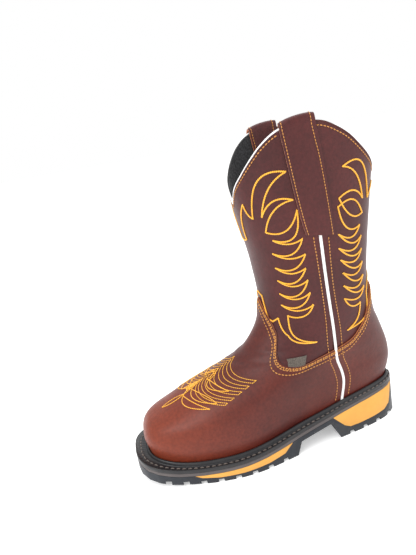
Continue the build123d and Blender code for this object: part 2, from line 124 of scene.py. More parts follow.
TAG_CORNERS, TAG_TOP = ((0.189, 0.227), (0.169, 0.212)), 0.497


def smooth_curve(x: Array, stations: Stations) -> Array:
    """Cubic through uneven stations, with the slope at each taken from its neighbours.

    Args:
        x: where the curve is read.
        stations: pairs of x and value, in rising order of x.

    Returns:
        The curve's values at x.
    """
    xs, ys = (np.asarray(column, float) for column in zip(*stations))
    slope = np.gradient(ys, xs)
    x = np.asarray(x, float)
    i = np.clip(np.searchsorted(xs, x, side="right") - 1, 0, len(xs) - 2)
    h = xs[i + 1] - xs[i]
    t = np.clip((x - xs[i]) / h, 0, 1)
    rise = (2 * t**3 - 3 * t**2 + 1) * ys[i] + (3 * t**2 - 2 * t**3) * ys[i + 1]
    return rise + h * ((t**3 - 2 * t**2 + t) * slope[i] + (t**3 - t**2) * slope[i + 1])


def step(t: Array) -> Array:
    """Smooth step from 0 to 1: three t squared minus two t cubed."""
    t = np.clip(t, 0, 1)
    return t * t * (3 - 2 * t)


def unit(vectors: Array) -> Array:
    """Vectors divided by their lengths."""
    return vectors / np.maximum(np.linalg.norm(vectors, axis=-1, keepdims=True), 1e-12)


def eased(points: Array, reach: int) -> Array:
    """Line with each point moved to the mean of its neighbours, fewer of them near the ends."""
    index = np.arange(len(points))
    room = np.minimum(np.minimum(index, len(points) - 1 - index), reach // 2)
    sums = np.concatenate([np.zeros((1, 3)), np.cumsum(points, axis=0)])
    return (sums[index + room + 1] - sums[index - room]) / (2 * room + 1)[:, None]


def read_at(places: Array, run: Array, values: Array) -> Array:
    """Rows of a table read at distances along a line."""
    return np.stack([np.interp(places, run, column) for column in values.T], -1)


def level(v: float) -> Line:
    """Line at one v, as a function of u."""
    return lambda u: np.full_like(u, v)


def run_along(points: Array) -> Array:
    """Distance gone at each point of a line."""
    return np.concatenate([[0], np.cumsum(np.linalg.norm(np.diff(points, axis=0), axis=1))])


def fold(u: Array) -> Array:
    """u counted from the front on either side, from 0 to 0.5."""
    return np.abs((np.asarray(u) + 0.5) % 1 - 0.5)


@dataclass
class Skin:
    """The surface that the leather's outer face lies on, in the frame's millimetres."""

    shift: tuple[float, float] = (0.0, 0.0)
    skirt: float = 100.0
    tiny: float = 1e-3
    rounds: int = 12
    fine: int = 1601

    def point(self, u: Array, v: Array) -> Array:
        """Points of the skin: superellipses stacked between a front and a back profile.

        Args:
            u: share of the way round.
            v: share of the way up; below 0 the skin goes straight down.

        Returns:
            Points, with a last axis of x, y, z.
        """
        u, v = np.broadcast_arrays(np.asarray(u, float), np.asarray(v, float))
        drop, v = np.minimum(v, 0) * self.skirt, np.maximum(v, 0)
        shares = [row[0] for row in SKIN_ROWS]
        columns = [[row[i][k] for row in SKIN_ROWS] for i in (1, 2) for k in (0, 1)]
        columns += [[row[k] for row in SKIN_ROWS] for k in range(3, 10)]
        (front_f, front_z, back_f, back_z, rear, fore, n_rear, n_fore, swing, waist_out,
         waist_in) = [smooth_curve(v, tuple(zip(shares, values))) for values in columns]
        cos, sin = np.cos(2 * np.pi * u), np.sin(2 * np.pi * u)
        power = 2 / np.where(cos > 0, n_fore, n_rear)
        share = (1 + np.sign(cos) * np.abs(cos) ** power) / 2
        side = np.sign(sin) * np.abs(sin) ** power
        half = rear + (fore - rear) * step((share - 0.2) / 0.5)
        half = half - np.where(sin > 0, waist_out, waist_in) * np.exp(-(((share - 0.45) / 0.13) ** 2))
        f = back_f + (front_f - back_f) * share
        heel, toe = SKIN_ROWS[0][2][0], SKIN_ROWS[0][1][0]
        chord = SKIN_ROWS[0][2][1] + (SKIN_ROWS[0][1][1] - SKIN_ROWS[0][2][1]) * (f - heel) / (toe - heel)
        z = back_z + (front_z - back_z) * share + (1 - step(v / 0.35)) * (smooth_curve(f, FEATHER) - chord)
        x = half * side - swing * step((share - 0.5) / 0.5)
        return np.stack([x + self.shift[0], self.shift[1] - f, z + drop], -1)

    def rates(self, u: Array, v: Array) -> tuple[Array, Array]:
        """Change of the skin's points with u and with v."""
        t = self.tiny
        return ((self.point(u + t, v) - self.point(u - t, v)) / (2 * t),
                (self.point(u, v + t) - self.point(u, v - t)) / (2 * t))

    def normal(self, u: Array, v: Array) -> Array:
        """Outward unit normals of the skin."""
        around, up = self.rates(u, v)
        return unit(np.cross(around, up))

    def deep(self, u: Array, v: Array, depth: Array | float) -> Array:
        """Points at a depth under the skin, which is negative outside it."""
        return self.point(u, v) - self.normal(u, v) * np.asarray(depth, float)[..., None]

    def turns(self, length: Array | float, u: Array, v: Array) -> Array:
        """Share of u that is this length along the skin."""
        return length / np.linalg.norm(self.rates(u, v)[0], axis=-1)

    def rises(self, length: Array | float, u: Array, v: Array) -> Array:
        """Share of v that is this length along the skin."""
        return length / np.linalg.norm(self.rates(u, v)[1], axis=-1)

    def topline(self, u: Array) -> Array:
        """v of the top edge."""
        return smooth_curve(fold(u), TOPLINE)

    def foot_edge(self, u: Array) -> Array:
        """v of the edge where the vamp and the heel cover end over the shaft."""
        return smooth_curve(fold(u), FOOT_EDGE)

    def above(self, line: Line, length: float) -> Line:
        """Line on the skin, a function of u, moved up by a length."""
        return lambda u: line(u) + self.rises(length, u, line(u))

    def half_grid(self, panel: Panel, low: Line, high: Line, rows: int, columns: int,
                  gap: float = SEAM_HALF) -> list[Array]:
        """Grid over a half layer, evenly spaced along each row.

        Args:
            panel: front or back half.
            low: v of the lower edge, a function of u.
            high: v of the upper edge, a function of u.
            rows: number of rows.
            columns: number of columns.
            gap: distance kept from the side seam's middle.

        Returns:
            u and v, each of rows by columns.
        """
        up = np.linspace(0, 1, rows)[:, None]
        v = np.full_like(up, 0.4)
        for _ in range(self.rounds):
            seam = smooth_curve(v, SEAM)
            away = self.turns(gap, seam, v)
            end = seam - away if panel is Panel.FRONT else seam + away
            v = low(end) + (high(end) - low(end)) * up
        share = np.linspace(-1, 1, self.fine)
        u = share * end if panel is Panel.FRONT else 0.5 + share * (0.5 - end)
        v = low(u) + (high(u) - low(u)) * up
        runs = np.linalg.norm(np.diff(self.point(u, v), axis=1), axis=2)
        run = np.concatenate([np.zeros((rows, 1)), np.cumsum(runs, axis=1)], axis=1)
        targets = run[:, -1:] * np.linspace(0, 1, columns)
        return [np.stack([np.interp(*row) for row in zip(targets, run, grid)]) for grid in (u, v)]


# ---------------------------------------------------------------- meshes from arrays
def mesh_object(name: str, points_mm: Array, faces: list[list[int]]) -> Piece:
    """Object at the origin from points in millimetres and faces.

    Args:
        name: piece name.
        points_mm: vertices, n by 3.
        faces: vertex numbers of each face.

    Returns:
        The linked object, shaded smooth.
    """
    mesh = bpy.data.meshes.new(name)
    mesh.from_pydata((points_mm * MM).tolist(), [], faces)
    mesh.polygons.foreach_set("use_smooth", np.ones(len(mesh.polygons), bool))
    mesh.update()
    piece = bpy.data.objects.new(name, mesh)
    bpy.context.scene.collection.objects.link(piece)
    return piece


def shell_object(name: str, outside: Array, inside: Array) -> Piece:
    """Closed shell between two grids of points, with its rim as a second material.

    Args:
        name: piece name.
        outside: outer points, rows by columns by 3.
        inside: inner points of the same shape.

    Returns:
        The object; material slot 0 is for its faces and slot 1 for its cut edge.
    """
    rows, columns = outside.shape[:2]
    count = rows * columns
    number = np.arange(count).reshape(rows, columns)
    quads = np.stack([number[:-1, :-1], number[:-1, 1:], number[1:, 1:], number[1:, :-1]], -1)
    quads = quads.reshape(-1, 4)
    rim = np.concatenate([number[0, :], number[1:, -1], number[-1, -2::-1], number[-2:0:-1, 0]])
    after = np.roll(rim, -1)
    flat_out, flat_in = outside.reshape(-1, 3), inside.reshape(-1, 3)
    middle = (flat_out[rim] + flat_in[rim]) / 2
    points = np.concatenate([flat_out, flat_in, middle])
    mid = 2 * count + np.arange(len(rim))
    mid_after = np.roll(mid, -1)
    side = np.concatenate([np.stack([rim, mid, mid_after, after], -1),
                           np.stack([mid, rim + count, after + count, mid_after], -1)])
    faces = np.concatenate([quads, quads[:, ::-1] + count, side])
    piece = mesh_object(name, points, faces.tolist())
    slots = np.zeros(len(faces), np.int32)
    slots[len(faces) - len(side):] = 1
    piece.data.materials.append(None)
    piece.data.materials.append(None)
    piece.data.polygons.foreach_set("material_index", slots)
    piece.data.set_sharp_from_angle(angle=SHARP_ANGLE)
    return piece


def loft_object(name: str, sections: Array, closed: bool = False) -> Piece:
    """Closed sections joined along a path, capped at the ends or joined into a ring.

    Args:
        name: piece name.
        sections: points, stations by section points by 3.
        closed: True where the last section meets the first.

    Returns:
        The object.
    """
    stations, ring = sections.shape[:2]
    number = np.arange(stations * ring).reshape(stations, ring)
    nxt = np.roll(number, -1, axis=1)
    below, above = (number, np.roll(number, -1, axis=0)) if closed else (number[:-1], number[1:])
    nxt_below, nxt_above = (nxt, np.roll(nxt, -1, axis=0)) if closed else (nxt[:-1], nxt[1:])
    faces = np.stack([below, nxt_below, nxt_above, above], -1).reshape(-1, 4).tolist()
    points = sections.reshape(-1, 3)
    if not closed:
        first, last = len(points), len(points) + 1
        points = np.concatenate([points, sections[[0, -1]].mean(axis=1)])
        faces += np.stack([number[0], np.full(ring, first), nxt[0]], -1).tolist()
        faces += np.stack([number[-1], nxt[-1], np.full(ring, last)], -1).tolist()
    piece = mesh_object(name, points, faces)
    made = bmesh.new()
    made.from_mesh(piece.data)
    bmesh.ops.recalc_face_normals(made, faces=made.faces)
    made.to_mesh(piece.data)
    made.free()
    return piece


@dataclass(frozen=True)
class Thread:
    """Thread of a stitch row: its thickness, the stitches' spacing and length, in millimetres."""

    radius: float
    pitch: float
    length: float
    slant_deg: float = 0.0
    stations: tuple[float, ...] = (-1.0, -0.72, -0.25, 0.25, 0.72, 1.0)
    sides: int = 6
    reach: float = 0.4

    def stitches(self, name: str, paths: list[tuple[Array, Array]]) -> Piece:
        """One object of arched stitches along paths.

        A stitch is a tube of six sides whose middle line rises as one minus x to the fourth and
        whose thickness falls towards its ends as the square root of one minus x squared.

        Args:
            name: piece name.
            paths: pairs of points and outward normals, each n by 3, in millimetres.

        Returns:
            The joined object.
        """
        x = np.array(self.stations)
        turn = np.linspace(0, 2 * np.pi, self.sides, endpoint=False)
        thick = np.sqrt(np.clip(1.02 - x**2, 0.03, 1))
        lift = 0.75 * (1 - x**4) - 0.45
        template = np.stack(np.broadcast_arrays(
            x[:, None], thick[:, None] * np.cos(turn),
            thick[:, None] * np.sin(turn) * 0.85 + lift[:, None]), -1)
        each = len(x) * self.sides
        number = np.arange(each).reshape(len(x), self.sides)
        nxt = np.roll(number, -1, 1)
        quads = np.stack([number[:-1], nxt[:-1], nxt[1:], number[1:]], -1).reshape(-1, 4)
        vertices, faces, total = [], [], 0
        for points, normals in paths:
            run = run_along(points)
            count = max(2, int(round(run[-1] / self.pitch)))
            at = (np.arange(count) + 0.5) * run[-1] / count
            centre = read_at(at, run, points)
            up = unit(read_at(at, run, normals))
            ahead = read_at(at + self.reach, run, points) - read_at(at - self.reach, run, points)
            along = unit(ahead - up * np.sum(ahead * up, -1, keepdims=True))
            across = np.cross(up, along)
            lean = np.radians(self.slant_deg)
            along, across = (along * np.cos(lean) + across * np.sin(lean),
                             across * np.cos(lean) - along * np.sin(lean))
            half = self.length / 2
            points_of = (centre[:, None, None] + along[:, None, None] * template[..., 0:1] * half
                         + across[:, None, None] * template[..., 1:2] * self.radius
                         + up[:, None, None] * template[..., 2:3] * self.radius)
            vertices.append(points_of.reshape(-1, 3))
            offsets = total + each * np.arange(count)
            faces.append((quads[None] + offsets[:, None, None]).reshape(-1, 4))
            total += each * count
        return mesh_object(name, np.concatenate(vertices), np.concatenate(faces).tolist())


# ---------------------------------------------------------------- finishes
class Nodes:
    """Short hand for building a node tree that ends in one Principled shader."""

    def __init__(self, name: str, roughness: float, **sockets: float) -> None:
        """Start a material with a Principled shader whose constant sockets are set."""
        self.material = bpy.data.materials.new(name)
        self.material.use_nodes = True
        self.tree = self.material.node_tree
        self.shader = self.tree.nodes["Principled BSDF"]
        self.shader.inputs["Roughness"].default_value = roughness
        for socket, value in sockets.items():
            self.shader.inputs[socket.replace("_", " ")].default_value = value
        self.place = self.add("ShaderNodeTexCoord").outputs["Object"]

    def add(self, kind: str, **settings) -> bpy.types.Node:
        """New node; settings are its attributes."""
        node = self.tree.nodes.new(kind)
        for key, value in settings.items():
            setattr(node, key, value)
        return node

    def link(self, source: Socket, target: Socket) -> None:
        """Join two sockets."""
        self.tree.links.new(source, target)

    def noise(self, scale: float, detail: float = 4.0, rough: float = 0.55,
              stretch: tuple[float, float, float] = (1, 1, 1)) -> Socket:
        """Noise on object coordinates; returns its value socket."""
        mapping = self.add("ShaderNodeMapping")
        mapping.inputs["Scale"].default_value = stretch
        self.link(self.place, mapping.inputs["Vector"])
        node = self.add("ShaderNodeTexNoise")
        for key, number in (("Scale", scale), ("Detail", detail), ("Roughness", rough)):
            node.inputs[key].default_value = number
        self.link(mapping.outputs["Vector"], node.inputs["Vector"])
        return node.outputs["Fac"]

    def cells(self, scale: float) -> Socket:
        """Distance in a Voronoi pattern on object coordinates."""
        node = self.add("ShaderNodeTexVoronoi")
        node.inputs["Scale"].default_value = scale
        self.link(self.place, node.inputs["Vector"])
        return node.outputs["Distance"]

    def ramp(self, value: Socket, *stops: tuple[float, Colour]) -> Socket:
        """Colour ramp of a value; stops are places and colours."""
        node = self.add("ShaderNodeValToRGB")
        elements = node.color_ramp.elements
        while len(elements) < len(stops):
            elements.new(0.5)
        for element, (place, colour) in zip(elements, stops):
            element.position = place
            element.color = (*colour, 1)
        self.link(value, node.inputs["Fac"])
        return node.outputs["Color"]

    def mix(self, factor: Socket, first: Socket | Colour,
            second: Socket | Colour, blend: str = "MIX") -> Socket:
        """Mixed colour; first and second are sockets or colours, at the node's colour inputs 6 and 7."""
        node = self.add("ShaderNodeMix", data_type="RGBA", blend_type=blend)
        for index, value in ((6, first), (7, second)):
            if isinstance(value, tuple):
                node.inputs[index].default_value = (*value, 1)
            else:
                self.link(value, node.inputs[index])
        self.link(factor, node.inputs[0])
        return node.outputs[2]

    def spread(self, value: Socket, low: float, high: float, start: float = 0.0,
               end: float = 1.0) -> Socket:
        """Value mapped from start..end to low..high."""
        node = self.add("ShaderNodeMapRange")
        self.link(value, node.inputs["Value"])
        for key, number in (("From Min", start), ("From Max", end), ("To Min", low), ("To Max", high)):
            node.inputs[key].default_value = number
        return node.outputs["Result"]

    def bump(self, value: Socket, strength: float, distance_mm: float,
             before: Socket | None = None) -> Socket:
        """Bump from a height; returns the normal socket."""
        node = self.add("ShaderNodeBump")
        node.inputs["Strength"].default_value = strength
        node.inputs["Distance"].default_value = distance_mm * MM
        self.link(value, node.inputs["Height"])
        if before is not None:
            self.link(before, node.inputs["Normal"])
        return node.outputs["Normal"]

    def done(self, colour: Socket, rough: Socket | None = None,
             normal: Socket | None = None) -> bpy.types.Material:
        """Join what is given to the shader and return the material."""
        for key, value in (("Base Color", colour), ("Roughness", rough), ("Normal", normal)):
            if value is not None:
                self.link(value, self.shader.inputs[key])
        return self.material


@dataclass(frozen=True)
class Leather:
    """Oiled leather: mottled colour, fine pebble grain, pull-up lighter patches, and where a toe colour is
    given a painted highlight towards the toe.
    """

    name: str
    dark: Colour
    light: Colour
    # Colour of a painted highlight, mixed in more strongly towards the toe over the y range toe_y_m, in
    # metres.
    painted_toe_highlight: Colour | None = None
    toe_y_m: tuple[float, float] = (-0.02, -0.15)
    roughness: tuple[float, float] = (0.36, 0.52)

    def build(self) -> bpy.types.Material:
        """Make the material."""
        n = Nodes(self.name, 0.45, Specular_IOR_Level=0.28, Coat_Weight=0.04, Coat_Roughness=0.4)
        mottle = n.noise(14, 5, 0.6)
        colour = n.ramp(mottle, (0.28, self.dark), (0.72, self.light))
        # Painted highlight: the toe colour is blended in along object y, reaching 85 per cent at the toe.
        if self.painted_toe_highlight is not None:
            split = n.add("ShaderNodeSeparateXYZ")
            n.link(n.place, split.inputs[0])
            share = n.spread(split.outputs["Y"], 0.0, 0.85, *self.toe_y_m)
            colour = n.mix(share, colour, self.painted_toe_highlight)
        fine = n.noise(320, 3, 0.6)
        colour = n.mix(n.spread(fine, 0.0, 0.35, 0.35, 0.75), colour, (0.02, 0.005, 0.004), "MULTIPLY")
        pores = n.cells(1500)
        grain = n.bump(pores, 0.22, 0.3)
        grain = n.bump(n.noise(480, 4, 0.65), 0.30, 0.4, grain)
        grain = n.bump(n.noise(55, 4, 0.55, (1, 1, 0.6)), 0.30, 1.6, grain)
        rough = n.spread(n.noise(45, 4), *self.roughness)
        return n.done(colour, rough, grain)


@dataclass(frozen=True)
class Cloth:
    """Knitted or woven cloth: small rounded cells, darker between them."""

    name: str
    dark: Colour
    light: Colour
    pitch_mm: float = 1.6

    def build(self) -> bpy.types.Material:
        """Make the material."""
        n = Nodes(self.name, 0.9, Sheen_Weight=0.25, Sheen_Roughness=0.5)
        weave = n.cells(1000 / self.pitch_mm)
        colour = n.ramp(weave, (0.15, self.light), (0.75, self.dark))
        colour = n.mix(n.spread(n.noise(30), 0, 0.5), colour, self.dark)
        return n.done(colour, None, n.bump(weave, 0.9, 0.5))


@dataclass(frozen=True)
class Rubber:
    """Moulded rubber: near-even colour, fine texture, scuffed lighter dust."""

    name: str
    colour: Colour
    dust: Colour
    roughness: tuple[float, float] = (0.4, 0.6)
    grain_scale: float = 900.0
    grain: float = 0.12

    def build(self) -> bpy.types.Material:
        """Make the material."""
        n = Nodes(self.name, 0.5, Specular_IOR_Level=0.4)
        colour = n.mix(n.spread(n.noise(40, 6, 0.65), 0.0, 0.5, 0.45, 0.8), self.colour, self.dust)
        normal = n.bump(n.noise(self.grain_scale, 3), self.grain, 0.2)
        return n.done(colour, n.spread(n.noise(70), *self.roughness), normal)


@dataclass(frozen=True)
class Fibre:
    """Thread, felt, cork or board: streaked colour with a rough surface."""

    name: str
    dark: Colour
    light: Colour
    scale: float = 900.0
    roughness: float = 0.7

    def build(self) -> bpy.types.Material:
        """Make the material."""
        n = Nodes(self.name, self.roughness, Sheen_Weight=0.2)
        streak = n.noise(self.scale, 3, 0.6)
        colour = n.ramp(streak, (0.3, self.dark), (0.7, self.light))
        return n.done(colour, None, n.bump(streak, 0.35, 0.15))


@dataclass(frozen=True)
class Steel:
    """Pressed steel with drawn streaks."""

    name: str

    def build(self) -> bpy.types.Material:
        """Make the material."""
        n = Nodes(self.name, 0.35, Metallic=1.0)
        streak = n.noise(120, 5, 0.6, (1, 12, 1))
        colour = n.ramp(streak, (0.3, (0.42, 0.43, 0.45)), (0.7, (0.6, 0.61, 0.63)))
        return n.done(colour, n.spread(streak, 0.28, 0.45), n.bump(streak, 0.1, 0.05))


FINISHES = {finish.name: finish for finish in (
    # foot_leather's third colour is a painted highlight towards the toe.
    Leather("foot_leather", (0.060, 0.0095, 0.0075), (0.125, 0.020, 0.012), (0.24, 0.040, 0.014)),
    Leather("shaft_leather", (0.046, 0.0085, 0.0085), (0.090, 0.0145, 0.0135)),
    Fibre("raw_edge", (0.26, 0.070, 0.020), (0.42, 0.13, 0.038), 500),
    Rubber("white_piping", (0.84, 0.84, 0.83), (0.62, 0.60, 0.58), (0.35, 0.5), 700, 0.05),
    Leather("dark_binding", (0.055, 0.014, 0.012), (0.085, 0.020, 0.016)),
    Cloth("black_lining", (0.005, 0.005, 0.006), (0.035, 0.035, 0.038), 2.2),
    Cloth("woven_tag", (0.055, 0.045, 0.036), (0.20, 0.165, 0.135), 0.6),
    Steel("cap_steel"),
    Rubber("foam", (0.10, 0.10, 0.10), (0.16, 0.16, 0.16), (0.8, 0.95), 1400, 0.4),
    Fibre("stiffener_board", (0.45, 0.40, 0.33), (0.6, 0.55, 0.47)),
    Rubber("welt_rubber", (0.014, 0.014, 0.016), (0.05, 0.047, 0.045), (0.28, 0.45)),
    Fibre("thread", (0.085, 0.065, 0.055), (0.17, 0.135, 0.115)),
    Rubber("midsole_rubber", (0.085, 0.073, 0.072), (0.15, 0.13, 0.125), (0.55, 0.75), 500, 0.35),
    Rubber("sole_rubber", (0.012, 0.015, 0.021), (0.035, 0.038, 0.045), (0.35, 0.55)),
    Rubber("sole_foam", (0.74, 0.36, 0.070), (0.55, 0.27, 0.055), (0.6, 0.75), 600, 0.3),
    Fibre("insole_fibre", (0.38, 0.29, 0.21), (0.5, 0.4, 0.3)),
    Fibre("cork", (0.28, 0.17, 0.09), (0.5, 0.33, 0.2), 250),
    Rubber("footbed_foam", (0.09, 0.09, 0.10), (0.14, 0.14, 0.15), (0.8, 0.95), 1400, 0.4),
    Cloth("footbed_cloth", (0.012, 0.012, 0.013), (0.06, 0.06, 0.065), 1.0),
    Fibre("tan_thread", (0.40, 0.15, 0.022), (0.66, 0.29, 0.045), 1500, 0.55),
    Fibre("gold_thread", (0.78, 0.34, 0.012), (0.95, 0.50, 0.03), 1500, 0.45),
)}


class Finish:
    """Builds each finish once and hands it out."""

    def __init__(self) -> None:
        """Start with no material made."""
        self.made: dict[str, bpy.types.Material] = {}

    def get(self, name: str) -> bpy.types.Material:
        """Material of that name."""
        if name not in self.made:
            self.made[name] = FINISHES[name].build()
        return self.made[name]

    def dress(self, piece: Piece, *names: str) -> None:
        """Put finishes in a piece's material slots."""
        materials = piece.data.materials
        while len(materials) < len(names):
            materials.append(None)
        for index, name in enumerate(names):
            materials[index] = self.get(name)


def hand_in(piece: Piece, slot: str, *nodes: str) -> None:
    """Ride a piece on the boot, hide the CAD nodes it stands for, and report it."""
    if nodes:
        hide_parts(*nodes)
    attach(piece, "boot")
    LOG.info("%s rides boot, %d faces", piece.name, len(piece.data.polygons))


# ---------------------------------------------------------------- sub-assemblies
@dataclass
class Upper:
    """Vamp, heel cover, shaft panels, their linings, beads, piping and tag."""

    skin: Skin
    finish: Finish
    creases: Tips = ((0.475, 0.9, 0.016), (0.525, 0.7, 0.014), (0.40, 0.35, 0.02))
    crease_reach: float = 0.16
    ripple: float = 0.5
    bead_size: tuple[float, float] = (1.25, 0.95)
    piping_size: tuple[float, float] = (1.55, 1.2)
    piping_ease: int = 35
    piping_stations: int = 240
    bead_stations: int = 260
    cord_sides: int = 16
    tag_grid: tuple[int, int] = (14, 24)
    tag_depths: tuple[float, float] = (0.9, 1.9)
    foot_v: float = -0.03
    lap: float = 10.0
    foot_grids: tuple[tuple[str, Panel, int, int], ...] = (
        ("vamp", Panel.FRONT, 170, 300), ("heel_cover", Panel.BACK, 130, 200))
    shaft_grid: tuple[int, int] = (150, 200)
    shaft_lining_rows: int = 90
    foot_lining_rows: int = 70
    lining_columns: int = 120
    rim_drop: float = 0.35
    rim_cells: float = 0.8

    def wave(self, u: Array, v: Array) -> Array:
        """Height of soft creases and ripples: narrow bells across the instep plus slow sines."""
        front = np.exp(-((fold(u) / self.crease_reach) ** 2))
        height = sum(-depth * np.exp(-(((v - at - 0.012 * np.sin(14 * u)) / width) ** 2))
                     for at, depth, width in self.creases) * front
        slow = np.sin(9 * u * np.pi + 3 * v) * np.sin(11 * v + 5 * u) + 0.5 * np.sin(23 * v + 17 * u)
        share = step((v - 0.36) / 0.2) * 0.5 * (1 - 0.8 * step((v - 0.8) / 0.08))
        return height + self.ripple * slow * share

    def layer(self, name: str, panel: Panel, low: Line, high: Line, outside: float, inside: float,
              rows: int, columns: int) -> Piece:
        """Shell of one half layer whose faces follow the creases.

        Args:
            name: piece name.
            panel: front or back half.
            low: v of the lower edge, a function of u.
            high: v of the upper edge, a function of u.
            outside: depth of the outer face.
            inside: depth of the inner face.
            rows: grid rows.
            columns: grid columns.

        Returns:
            The shell.
        """
        u, v = self.skin.half_grid(panel, low, high, rows, columns, SEAM_HALF - 0.15)
        wave = self.wave(u, v)
        span = np.linspace(0, 1, rows)[:, None] + 0 * u
        across = np.linspace(0, 1, columns)[None] + 0 * u
        edge = np.minimum.reduce([
            (1 - span) * (rows - 1), across * (columns - 1), (1 - across) * (columns - 1)])
        rounding = self.rim_drop * np.exp(-edge / self.rim_cells)
        return shell_object(name, self.skin.deep(u, v, outside - wave + rounding),
                            self.skin.deep(u, v, inside - wave))

    def leather(self) -> None:
        """Vamp, heel cover and the two shaft panels."""
        foot = self.skin.foot_edge
        for name, panel, rows, columns in self.foot_grids:
            piece = self.layer(f"{name}_leather", panel, level(self.foot_v), foot, 0.0, LEATHER,
                               rows, columns)
            self.finish.dress(piece, "foot_leather", "raw_edge")
            hand_in(piece, "foot_leather", name)
        for panel in Panel:
            piece = self.layer(f"shaft_{panel.value}_leather", panel, self.skin.above(foot, -self.lap),
                               self.skin.topline, LAYER_2, LAYER_2 + LEATHER, *self.shaft_grid)
            self.finish.dress(piece, "shaft_leather", "raw_edge")
            hand_in(piece, "shaft_leather", f"shaft_{panel.value}")

    def linings(self) -> None:
        """Black knitted linings of the shaft, the vamp and the heel."""
        join, low, top_edge = level(LINING_JOIN), level(self.foot_v), self.skin.topline
        for panel, foot in ((Panel.FRONT, "vamp_lining"), (Panel.BACK, "heel_lining")):
            node = f"shaft_lining_{panel.value}"
            for name, bottom, top, rows in ((node, join, top_edge, self.shaft_lining_rows),
                                            (foot, low, join, self.foot_lining_rows)):
                piece = self.layer(f"{name}_cloth", panel, bottom, top, LAYER_3, WALL, rows,
                                   self.lining_columns)
                self.finish.dress(piece, "black_lining", "black_lining")
                hand_in(piece, "black_lining", name)

    def cord(self, name: str, centre: Array, out: Array, width: float, height: float) -> Piece:
        """Round cord along a line: an ellipse across it, wider than it is high."""
        along = unit(np.gradient(centre, axis=0))
        side = unit(np.cross(out, along))
        turn = np.linspace(0, 2 * np.pi, self.cord_sides, endpoint=False)[None, :, None]
        sections = (centre[:, None] + side[:, None] * np.cos(turn) * width
                    + out[:, None] * np.sin(turn) * height)
        return loft_object(name, sections)

    def piping(self) -> None:
        """White cords down the two side seams, from the strap's foot to the welt."""
        v = np.linspace(self.foot_v, STRAP_FOOT + 0.01, self.piping_stations)
        edge = float(smooth_curve(0.28, FOOT_EDGE))
        for side in Side:
            u = side.value * smooth_curve(v, SEAM)
            depth = LAYER_2 * step((v - edge) / 0.05) + 0.1
            centre = eased(self.skin.deep(u, v, depth), self.piping_ease)
            piece = self.cord(f"side_cord_{side.name.lower()}", centre,
                              self.skin.normal(u, v), *self.piping_size)
            self.finish.dress(piece, "white_piping")
            hand_in(piece, "white_piping", f"side_piping_{side.name.lower()}")

    def beads(self) -> None:
        """Rolled edges on top of the front and the back panel."""
        for panel, finish in ((Panel.FRONT, "white_piping"), (Panel.BACK, "dark_binding")):
            seam = float(smooth_curve(0.985, SEAM))
            start, end = (-seam, seam) if panel is Panel.FRONT else (seam, 1 - seam)
            u = np.linspace(start, end, self.bead_stations)
            v = self.skin.topline(u)
            centre = self.skin.deep(u, v, LAYER_2 + self.bead_size[0] - 0.3)
            up = unit(self.skin.rates(u, v)[1])
            piece = self.cord(f"top_bead_{panel.value}", centre + up * 0.6, up, *self.bead_size)
            self.finish.dress(piece, finish)
            hand_in(piece, finish, f"topline_bead_{panel.value}")

    def tag(self) -> None:
        """Small woven tab in the seam above the vamp, on the outer side."""
        rows, columns = self.tag_grid
        share, up = np.meshgrid(np.linspace(0, 1, columns), np.linspace(0, 1, rows))
        front = TAG_CORNERS[0][0] + (TAG_CORNERS[1][0] - TAG_CORNERS[0][0]) * up
        rear = TAG_CORNERS[0][1] + (TAG_CORNERS[1][1] - TAG_CORNERS[0][1]) * up
        u = front + (rear - front) * share
        low = self.skin.foot_edge(u) - 0.002
        v = low + (TAG_TOP - low) * up
        wave = self.wave(u, v)
        faces = [self.skin.deep(u, v, depth - wave) for depth in self.tag_depths]
        piece = shell_object("woven_side_tag", *faces)
        self.finish.dress(piece, "woven_tag", "woven_tag")
        hand_in(piece, "woven_tag", "side_tag")

    def build(self) -> None:
        """Make every piece of the upper."""
        self.leather()
        self.linings()
        self.piping()
        self.beads()
        self.tag()


